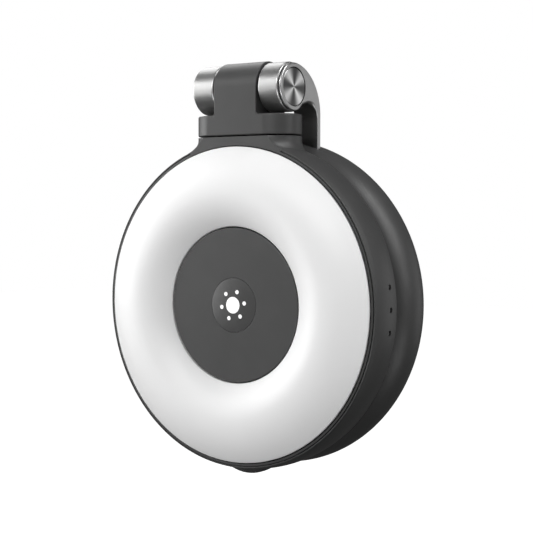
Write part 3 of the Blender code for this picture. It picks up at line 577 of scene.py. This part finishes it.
def flare():
    """The neck under the hinge: a stadium that meets the round head in a rolling-ball fillet."""
    ball = 3.0 * MM
    sunk = 0.01 * MM
    above = 6 * MM
    below = 3 * MM
    head = HEAD_RADIUS - sunk
    end_radius = (BRACKET[1].y - BRACKET[0].y) / 2
    flat = BRACKET[1].x - end_radius
    middle = HINGE_DEPTH
    sections = []
    ends = [(flat, angle) for angle in range(-90, 91, 3)]
    ends += [(-flat, angle) for angle in range(90, 271, 3)]
    levels = 16
    for start, degrees in ends:
        angle = math.radians(degrees)
        across = Vector((math.cos(angle), 0, math.sin(angle)))
        centre = Vector((start, 0, middle)) + across * (end_radius + ball)
        centre.y = math.sqrt((head + ball) ** 2 - centre.x ** 2)
        to_wall = -across
        to_head = -Vector((centre.x, centre.y, 0)).normalized()
        line = [centre + to_wall * ball + Vector((0, above, 0))]
        for step in range(levels + 1):
            line.append(centre + to_wall.slerp(to_head, step / levels) * ball)
        line.append(Vector((line[-1].x * 0.8, line[-1].y - below, middle)))
        sections.append(line)
    count = len(sections)
    rows = len(sections[0])
    points = []
    for line in sections:
        points += [(point.x, point.y, -point.z) for point in line]
    faces = [[index * rows for index in range(count)],
             [index * rows + rows - 1 for index in range(count)][::-1]]
    for index in range(count):
        following = (index + 1) % count
        for row in range(rows - 1):
            here = index * rows + row
            there = following * rows + row
            faces.append([here, here + 1, there + 1, there])
    return build("flare", points, faces, FACE_ON)


def wall_radius(depth):
    """Radius of the head's side wall, which is slightly barrel shaped."""
    share = depth / HEAD_DEPTH
    return HEAD_RADIUS + WALL_DRAFT * share + 4 * WALL_BULGE * share * (1 - share)


def head_shell():
    """The head's outside as one solid disc: a grooved lip and a barrel-shaped wall."""
    groove_inner = HEAD_RADIUS - 0.45 * MM
    groove_outer = HEAD_RADIUS - 0.23 * MM
    groove_floor = -0.45 * MM
    edge = -0.1 * MM
    corners = [
        (0, 0, 0), (groove_inner, 0, 0.06 * MM), (groove_inner, groove_floor, 0),
        (groove_outer, groove_floor, 0), (groove_outer, edge, 0.05 * MM),
        (HEAD_RADIUS, edge, 0.12 * MM)]
    steps = 28
    wall_start = 1 * MM
    wall_length = HEAD_DEPTH - 1.6 * MM
    for index in range(steps + 1):
        depth = wall_start + wall_length * index / steps
        corners.append((wall_radius(depth), -depth, 0))
    corners += [(HEAD_RADIUS + WALL_DRAFT, -HEAD_DEPTH, 0.3 * MM), (0, -HEAD_DEPTH, 0)]
    return lathe("light_head_housing", rounded(corners), FACE_ON, 256)


def trimmed_neck():
    """The flare, cut flat in front and on top, and hollowed at the rear in a quarter round."""
    neck = flare()
    split = BRACKET[0].z - 0.26 * MM
    wide = 30 * MM
    trims = [
        prism("front_trim", [(-wide, 0), (wide, 0), (wide, 60 * MM), (-wide, 60 * MM)],
              0, 20 * MM, FACE_ON),
        prism("top_trim", [(-wide, split), (wide, split), (wide, 60 * MM), (-wide, 60 * MM)],
              -30 * MM, 30 * MM, FACE_ON)]
    rear = BRACKET[1].y - LIP_Y
    drawn = 2.6 * MM
    concave = arc((-rear, split - drawn), drawn, 90, 0, 14)
    rear_outline = [(-rear - 10 * MM, split + 1 * MM), (-rear, split + 1 * MM)]
    rear_outline += concave + [(-rear + drawn, 20 * MM), (-rear - 10 * MM, 20 * MM)]
    side_view = FACE_ON @ Matrix.Rotation(-QUARTER, 4, "Y")
    trims.append(prism("rear_trim", rear_outline, -wide, wide, side_view))
    cut(neck, *trims)
    return neck


def thumb_tab():
    """A thin round tab that shows below the head as a crescent."""
    radius = 11.0 * MM
    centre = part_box("head_housing")[0].z + radius
    front = -4.4 * MM
    back = -5.6 * MM
    edge = 0.2 * MM
    profile = rounded([(0, front, 0), (radius, front, edge), (radius, back, edge), (0, back, 0)])
    return lathe("tab", profile, shift(FACE_ON, 0, centre))


def head_openings():
    """The cavity, the three pinholes on the right and the charging slot on the left."""
    wall = 1.65 * MM
    lip = DIFFUSER_OUTER + 0.24 * MM
    ledge = lip - wall
    ledge_front = -1.6 * MM
    ledge_back = -2.3 * MM
    inner = HEAD_RADIUS + WALL_DRAFT - wall
    past = 2 * MM
    outside = 40 * MM
    cavity = lathe("cavity", [
        (0, past), (lip, past), (lip, ledge_front), (ledge, ledge_front), (ledge, ledge_back),
        (inner, ledge_back), (inner, -HEAD_DEPTH - past), (0, -HEAD_DEPTH - past)], FACE_ON, 256)
    tools = [cavity]
    pinhole = 0.6 * MM
    pitch = 4.53 * MM
    depth = 5.06 * MM
    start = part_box("indicator_light_pipe")[0].x - 1 * MM
    for row in (-1, 0, 1):
        side = shift(FACE_ON, 0, row * pitch, -depth) @ Matrix.Rotation(QUARTER, 4, "Y")
        tools.append(rod("indicator_hole", pinhole, start, outside, side))
    half_length = 4.75 * MM
    left_view = FACE_ON @ Matrix(((0, 0, -1, 0), (1, 0, 0, 0), (0, 1, 0, 0), (0, 0, 0, 1)))
    tools.append(box("usb_slot", (-half_length, -7.05 * MM, 30 * MM),
                     (half_length, -3.5 * MM, outside), left_view, 1.7 * MM))
    return tools


def head_housing():
    housing = head_shell()
    join(housing, trimmed_neck(), thumb_tab())
    cut(housing, *head_openings())
    present(housing, "head", "housing_plastic", "head_housing")


def diffuser_height(radius):
    """Height of the diffuser's skin over the lip plane: two half parabolas that share an apex."""
    apex = 23.6 * MM
    crown = LIP_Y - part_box("diffuser_ring")[0].y - CAP_FACE
    edge = DIFFUSER_OUTER if radius > apex else DIFFUSER_INNER
    return CAP_FACE + crown * (1 - ((radius - apex) / (edge - apex)) ** 2)


def diffuser_ring():
    """A crowned ring of translucent plastic; its rim overhangs a rebate, which reads as a gap."""
    outer = DIFFUSER_OUTER
    inner = DIFFUSER_INNER
    skin = 1.0 * MM
    edge = 0.14 * MM
    rebate = 0.55 * MM
    rim_foot = 0.04 * MM
    steps = 48
    top = []
    for step in range(steps + 1):
        radius = inner + edge + (outer - inner - 2 * edge) * step / steps
        top.append((radius, diffuser_height(radius)))
    rim_in = [(inner, CAP_FACE - edge), (inner + edge * 0.3, CAP_FACE + edge * 0.1)]
    rim_out = [(outer - edge * 0.3, CAP_FACE + edge * 0.1), (outer, CAP_FACE - edge)]
    under = []
    under_steps = 14
    for step in range(under_steps + 1):
        share = step / under_steps
        radius = outer - rebate - skin + (inner - outer + rebate + 2 * skin) * share
        under.append((radius, diffuser_height(radius) - 1.25 * skin))
    outer_foot = -1.3 * MM
    inner_foot = -1.7 * MM
    profile = rim_in + top + rim_out
    profile += [(outer, rim_foot), (outer - rebate, rim_foot), (outer - rebate, outer_foot),
                (outer - rebate - skin, outer_foot)]
    profile += under + [(inner + skin, inner_foot), (inner, inner_foot)]
    ring = lathe("diffuser", profile, FACE_ON, 256)
    present(ring, "head", "diffuser_plastic", "diffuser_ring")


def center_cap():
    hole = radius_of_dome() + 0.06 * MM
    under = CAP_FACE - 1.1 * MM
    skirt = CAP_RADIUS - 1.15 * MM
    foot = -2.4 * MM
    profile = rounded([
        (hole, CAP_FACE, 0.04 * MM), (CAP_RADIUS, CAP_FACE, 0.15 * MM), (CAP_RADIUS, foot, 0),
        (skirt, foot, 0), (skirt, under, 0), (hole, under, 0)], 4)
    cap = lathe("centre_disc", profile, FACE_ON)
    present(cap, "head", "cap_plastic", "center_cap")


def radius_of_dome():
    """The dome's radius: its flange below is wider by a fixed step."""
    return radius_of("dome_button") - 0.95 * MM


DOME_CURVE = 2.3    # 2 is a parabola; more is flatter in the middle


def dome_height(radius):
    """Height of the button's domed face over the lip plane."""
    crown = LIP_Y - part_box("dome_button")[0].y - CAP_FACE
    return CAP_FACE + crown * (1 - (radius / radius_of_dome()) ** DOME_CURVE)


ICON_CENTRE = 1.72 * MM
ICON_DOT = 0.43 * MM
ICON_RING = 2.93 * MM
ICON_TURN = math.radians(9)


def dome_button():
    radius = radius_of_dome()
    flange = radius_of("dome_button")
    steps = 24
    dome = [(radius * step / steps, dome_height(radius * step / steps))
            for step in range(steps + 1)]
    flange_top = -1.05 * MM
    foot = -1.65 * MM
    hollow = 4.2 * MM
    ceiling = 0.1 * MM
    profile = dome + [
        (radius, flange_top), (flange, flange_top), (flange, foot), (hollow, foot),
        (hollow, ceiling), (0, ceiling)]
    button = lathe("button", profile, FACE_ON, 128)
    clear = 0.03 * MM
    past = 3 * MM
    holes = [rod("icon_hole", ICON_CENTRE + clear, -past, past, FACE_ON, 64)]
    for x, y in around(6, ICON_RING, ICON_TURN):
        holes.append(rod("icon_hole", ICON_DOT + clear, -past, past, shift(FACE_ON, x, y), 32))
    cut(button, *holes)
    present(button, "button", "cap_plastic", "dome_button")


def button_icon():
    """Seven posts on one web, their ends flush with the dome."""
    proud = 0.01 * MM
    steps = 6
    web = 3.8 * MM
    web_top = -0.2 * MM
    web_foot = -0.6 * MM
    stem = 1.2 * MM
    stem_foot = -1.65 * MM
    top = [(ICON_CENTRE * step / steps, dome_height(ICON_CENTRE * step / steps) + proud)
           for step in range(steps + 1)]
    icon = lathe("button_icon_posts", top + [
        (ICON_CENTRE, web_top), (web, web_top), (web, web_foot), (stem, web_foot),
        (stem, stem_foot), (0, stem_foot)], FACE_ON, 64)
    posts = []
    for x, y in around(6, ICON_RING, ICON_TURN):
        posts.append(rod("icon_post", ICON_DOT, -0.4 * MM, dome_height(ICON_RING) + proud,
                         shift(FACE_ON, x, y), 32))
    join(icon, *posts)
    present(icon, "button", "icon_plastic", "button_icon")


COVER_SCREWS = around(4, 29.5 * MM, math.pi / 4)


def head_back_cover():
    inside = -7.1 * MM
    face = -7.95 * MM
    cover = lathe("light_head_back_cover", rounded([
        (0, inside, 0), (COVER_RADIUS, inside, 0), (COVER_RADIUS, face, 0.15 * MM),
        (0, face, 0)]), FACE_ON)
    sink = 1.6 * MM
    shank = 0.95 * MM
    outside = 9 * MM
    seat = 7.45 * MM
    through = 6 * MM
    hole = [(0, outside), (sink, outside), (sink, seat), (shank, seat), (shank, through),
            (0, through)]
    cut(cover, *[lathe("cover_hole", hole, shift(BACK_ON, x, y), 48) for x, y in COVER_SCREWS])
    present(cover, "head", "housing_plastic", "head_back_cover")


def screw(name, node, body, head, height, shank, length, place):
    """A cheese-head screw with a six-lobed socket."""
    profile = rounded([
        (0, height, 0), (head, height, head * 0.18), (head, 0, 0), (shank, 0, 0),
        (shank, -length, shank * 0.4), (0, -length, 0)], 5)
    made = lathe(name, profile, place, 48)
    steps = 48
    lobes = []
    for step in range(steps):
        angle = FULL * step / steps
        radius = head * (0.42 + 0.07 * math.cos(6 * angle))
        lobes.append((radius * math.cos(angle), radius * math.sin(angle)))
    cut(made, prism("socket", lobes, height * 0.35, height + 1 * MM, place))
    present(made, body, "fastener_steel", node)


def cover_screws():
    for index, (x, y) in enumerate(COVER_SCREWS):
        screw("back_cover_screw_%d" % (index + 1), "cover_screw_%d" % (index + 1), "head",
              1.45 * MM, 0.4 * MM, 0.75 * MM, 3.2 * MM, shift(BACK_ON, x, -y, 7.5 * MM))


# --- hinge --------------------------------------------------------------------------------

def stadium(half_width, radius, count=24):
    """A plan with two full-round ends, centred on the origin."""
    flat = half_width - radius
    right = arc((flat, 0), radius, -90, 90, count)
    left = arc((-flat, 0), radius, 90, 270, count)
    return right + left


def hinge_bracket():
    """The stadium base and the knuckle that grows out of it."""
    low, high = BRACKET
    half_depth = (high.y - low.y) / 2
    base_top = 39.5 * MM - HINGE.z
    base_bottom = low.z - HINGE.z
    base = prism("hinge_bracket_body", stadium(high.x, half_depth), base_bottom, base_top,
                 AT_HINGE, 0.3 * MM)
    knuckle_half = 5.4 * MM
    foot = base_top - 2 * MM
    rise = high.z - HINGE.z - half_depth
    outline = arc((0, rise), half_depth, 0, 180, 64) + [(-half_depth, foot), (half_depth, foot)]
    knuckle = prism("knuckle", outline, -knuckle_half, knuckle_half, SIDE_ON, 0.2 * MM)
    corner = 0.45 * MM
    fillets = []
    for side in (-1, 1):
        wall = side * (knuckle_half - 0.02 * MM)
        reach = side * (knuckle_half + corner)
        profile = [(wall, base_top - 0.4 * MM), (reach, base_top - 0.4 * MM),
                   (reach, base_top - 0.01 * MM)]
        sweep = arc((reach, base_top + corner), corner, -90, -90 - side * 90, 8)
        profile += sweep + [(wall, base_top + corner)]
        front_on = AT_HINGE @ Matrix.Rotation(QUARTER, 4, "X")
        fillets.append(prism("corner_fillet", profile, -half_depth + 0.2 * MM,
                             half_depth - 0.02 * MM, front_on))
    join(base, knuckle, *fillets)
    bore = 1.8 * MM
    past = 9 * MM
    cut(base, rod("bore", bore, -past, past, ALONG_HINGE))
    present(base, "head", "housing_plastic", "hinge_bracket")


def left_barrel():
    low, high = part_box("left_barrel")
    start = high.x - HINGE.x
    end = low.x - HINGE.x
    edge = 0.45 * MM
    floor = end + 1.2 * MM
    inner = 3.7 * MM
    profile = rounded([
        (0, floor, 0), (inner, floor, 0), (inner, start, 0.1 * MM),
        (BARREL_RADIUS, start, edge), (BARREL_RADIUS, end, edge), (0, end, 0)])
    barrel = lathe("hinge_left_barrel", profile[::-1], ALONG_HINGE, 128)
    present(barrel, "head", "barrel_aluminium", "left_barrel")


def right_barrel():
    low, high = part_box("right_barrel")
    start = low.x - HINGE.x
    end = high.x - HINGE.x
    edge = 0.4 * MM
    inner = 4.6 * MM
    profile = rounded([
        (inner, end, 0), (BARREL_RADIUS, end, edge), (BARREL_RADIUS, start, edge),
        (inner, start, 0)])
    barrel = lathe("hinge_right_barrel", profile, ALONG_HINGE, 128)
    cut(barrel, box("sleeve_slot", (start - 1 * MM, 3 * MM, -1.8 * MM),
                    (end + 1 * MM, 7 * MM, 1.8 * MM), AT_HINGE))
    present(barrel, "pod", "barrel_aluminium", "right_barrel")


def arm_outline():
    """The arm from its side: (back, up) points round the hinge axis and a rim radius for each."""
    flange_radius = 4.96 * MM
    outer_radius = 10.28 * MM
    inner_radius = 3.25 * MM
    lean = math.radians(5.6)
    leaves = 90 - math.degrees(lean)
    drop = outer_radius - flange_radius
    crown = (-drop * math.sin(lean), -drop * math.cos(lean))
    plate_back = ARM[1].y - HINGE.y
    plate_front = plate_back - ARM_PLATE
    foot = ARM[0].z - HINGE.z
    arch = (plate_front - inner_radius, 38.66 * MM - HINGE.z)
    outline = arc(crown, outer_radius, leaves, 0, 60)
    outline += [(plate_back, foot), (plate_front, foot)]
    fine = 0.2 * MM
    soft = 0.9 * MM
    medium = 0.35 * MM
    edges = [fine] * len(outline)
    arch_ends = 98
    hook = arc(arch, inner_radius, 0, arch_ends, 28)
    edges += [eased(fine, soft, (step - 9) / 12) for step in range(len(hook))]
    outline += hook
    flange_starts = -47
    around_hub = arc((0, 0), flange_radius, flange_starts, leaves - 360, 90)[:-1]
    edges += [eased(soft, medium, step / 14) for step in range(len(around_hub))]
    outline += around_hub
    return outline, edges


def hinge_arm():
    """The one-sided arm: hub flange, side cheek, curved strap and the plate in the pod."""
    outline, edges = arm_outline()
    left = ARM[0].x
    right = ARM[1].x
    flange = 11.06 * MM
    start = 4 * MM
    gap = 0.3 * MM
    arm = prism("hinge_arm_body", outline, left, right, SIDE_ON, edges)
    clearance = rod("barrel_clearance", BARREL_RADIUS + gap, start, flange, ALONG_HINGE, 128)
    open_front = box("front_clearance", (start, -7 * MM, -6 * MM),
                     (flange, 4.8 * MM, 7 * MM), AT_HINGE)
    cut(arm, clearance, open_front)
    hub_radius = 4.3 * MM
    hub_start = 6.3 * MM
    hub = rod("hub", hub_radius, hub_start, right - 0.2 * MM, ALONG_HINGE, 96)
    web_half = 1.5 * MM
    web = box("web", (6.8 * MM, 3 * MM, -web_half), (11.2 * MM, 6.5 * MM, web_half), AT_HINGE)
    join(arm, hub, web)
    disc_seat = 10.75 * MM
    nut_seat = 9.0 * MM
    outside = 13 * MM
    through = 5 * MM
    disc_room = 4.08 * MM
    nut_room = 2.9 * MM
    shaft_room = 1.6 * MM
    pocket = lathe("pocket", [
        (0, outside), (disc_room, outside), (disc_room, disc_seat), (nut_room, disc_seat),
        (nut_room, nut_seat), (shaft_room, nut_seat), (shaft_room, through), (0, through)],
        ALONG_HINGE, 128)
    cut(arm, pocket)
    present(arm, "pod", "arm_aluminium", "hinge_arm")


def hinge_end_cap():
    low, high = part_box("hinge_end_cap")
    radius = (high.z - low.z) / 2
    disc = lathe("hinge_end_disc", rounded([
        (0, high.x - HINGE.x, 0), (radius, high.x - HINGE.x, 0.12 * MM),
        (radius, low.x - HINGE.x, 0), (0, low.x - HINGE.x, 0)]), ALONG_HINGE, 128)
    present(disc, "pod", "spun_aluminium", "hinge_end_cap")


# --- back pod -----------------------------------------------------------------------------

def pod_shell():
    """A pebble of revolution with a full-round edge, hollow and open at the back."""
    flat = 27.2 * MM
    edge = 7.6 * MM
    wall = 1.6 * MM
    back = 0.3 * MM
    opening = 26.9 * MM
    front = back + 2 * edge
    middle = (flat, back + edge)
    outer = arc(middle, edge, 90, -90, 48)
    inner = arc(middle, edge - wall, -90, 90, 16)
    profile = [(0, front)] + outer + [(opening, back), (opening, back + wall)]
    profile += inner + [(0, front - wall)]
    shell = lathe("pod_housing", profile, POD_FACE_ON, 256)
    play = 0.1 * MM
    plate_front = BACK_Y - (ARM[1].y - ARM_PLATE) + play
    plate_back = BACK_Y - ARM[1].y - play
    side = 0.12 * MM
    foot = 21 * MM
    top = 38 * MM
    slot = box("arm_slot", (ARM[0].x - side, foot, plate_back),
               (ARM[1].x + side, top, plate_front), POD_FACE_ON)
    cut(shell, slot)
    present(shell, "pod", "housing_plastic", "pod_shell")


def grip_pad():
    radius = radius_of("grip_pad")
    thick = 0.7 * MM
    pad = lathe("silicone_pad", rounded([
        (0, thick, 0), (radius, thick, 0), (radius, 0, 0.2 * MM), (0, 0, 0)]), POD_FACE_ON)
    present(pad, "pod", "grip_rubber", "grip_pad")


# --- studio -------------------------------------------------------------------------------

def aim(thing, target):
    thing.rotation_euler = (Vector(target) - thing.location).to_track_quat("-Z", "Y").to_euler()


LAMP_DISTANCE = 0.5
LAMPS_AIM = Vector((0, -0.012, 0.007))


def softbox(name, azimuth, elevation, width, height, power):
    """An area light round the object. Azimuth 0 is straight in front, and 90 on the right."""
    lamp = bpy.data.lights.new(name, "AREA")
    lamp.shape = "RECTANGLE"
    lamp.size = width
    lamp.size_y = height
    lamp.energy = power
    holder = bpy.data.objects.new(name, lamp)
    turn = math.radians(azimuth)
    rise = math.radians(elevation)
    holder.location = LAMPS_AIM + LAMP_DISTANCE * Vector((
        math.sin(turn) * math.cos(rise), -math.cos(turn) * math.cos(rise), math.sin(rise)))
    bpy.context.scene.collection.objects.link(holder)
    aim(holder, LAMPS_AIM)


def studio():
    """Softboxes round the object, in a world that looks white but lights it only dimly."""
    softbox("key_left", -60, 12, 0.26, 0.38, 1.55)
    softbox("key_left_wing", -84, 10, 0.2, 0.3, 0.36)
    softbox("front_high", 2, 28, 0.3, 0.16, 1.25)
    softbox("front_low", 30, -24, 0.4, 0.2, 1.1)
    softbox("right_mid", 98, 12, 0.2, 0.12, 0.2)
    softbox("right_high", 97, 38, 0.2, 0.22, 0.7)
    softbox("right_top", 99, 60, 0.16, 0.12, 0.58)
    softbox("right_low", 90, -30, 0.2, 0.2, 0.29)
    softbox("back_right", 146, 0, 0.28, 0.28, 0.16)
    softbox("back_left", -120, 40, 0.3, 0.3, 0.7)
    scene = bpy.context.scene
    scene.view_settings.view_transform = "Standard"
    world = bpy.data.worlds.new("studio")
    scene.world = world
    world.use_nodes = True
    tree = world.node_tree
    seen = tree.nodes["Background"]
    seen.inputs["Color"].default_value = (1, 1, 1, 1)
    dim = tree.nodes.new("ShaderNodeBackground")
    dim.inputs["Color"].default_value = (1, 1, 1, 1)
    dim.inputs["Strength"].default_value = 0.08
    which = tree.nodes.new("ShaderNodeLightPath")
    mix = tree.nodes.new("ShaderNodeMixShader")
    tree.links.new(which.outputs["Is Camera Ray"], mix.inputs["Fac"])
    tree.links.new(dim.outputs[0], mix.inputs[1])
    tree.links.new(seen.outputs[0], mix.inputs[2])
    tree.links.new(mix.outputs[0], tree.nodes["World Output"].inputs["Surface"])


def floor():
    """A white ground well below the object, which sheds no light on it."""
    mesh = bpy.data.meshes.new("floor")
    half = 2.0
    drop = 120 * MM
    mesh.from_pydata([(-half, -half, 0), (half, -half, 0), (half, half, 0), (-half, half, 0)],
                     [], [(0, 1, 2, 3)])
    plane = bpy.data.objects.new("floor", mesh)
    plane.location = (0, 0, cad_bounds[0].z - drop)
    bpy.context.scene.collection.objects.link(plane)
    made = Finish("floor", (0.9, 0.9, 0.9), 0.6, Emission_Strength=0.97,
                  Emission_Color=(1.0, 1.0, 1.0, 1.0))
    mesh.materials.append(made.material)
    plane.visible_diffuse = False
    plane.visible_glossy = False


def camera():
    """The main view: from in front, 35 degrees round towards the right, and slightly above."""
    down = 2.3003
    round_right = 35.477
    lens = bpy.data.cameras.new("camera")
    lens.lens = 94.88
    lens.sensor_width = 36
    holder = bpy.data.objects.new("camera", lens)
    holder.location = (0.174599, -0.257356, 0.019731)
    holder.rotation_euler = (math.radians(90 - down), 0, math.radians(round_right))
    bpy.context.scene.collection.objects.link(holder)
    bpy.context.scene.camera = holder


finish_cad_nodes()
camera()
head_housing()
diffuser_ring()
center_cap()
dome_button()
button_icon()
head_back_cover()
cover_screws()
hinge_bracket()
left_barrel()
right_barrel()
hinge_arm()
hinge_end_cap()
pod_shell()
grip_pad()
floor()
studio()
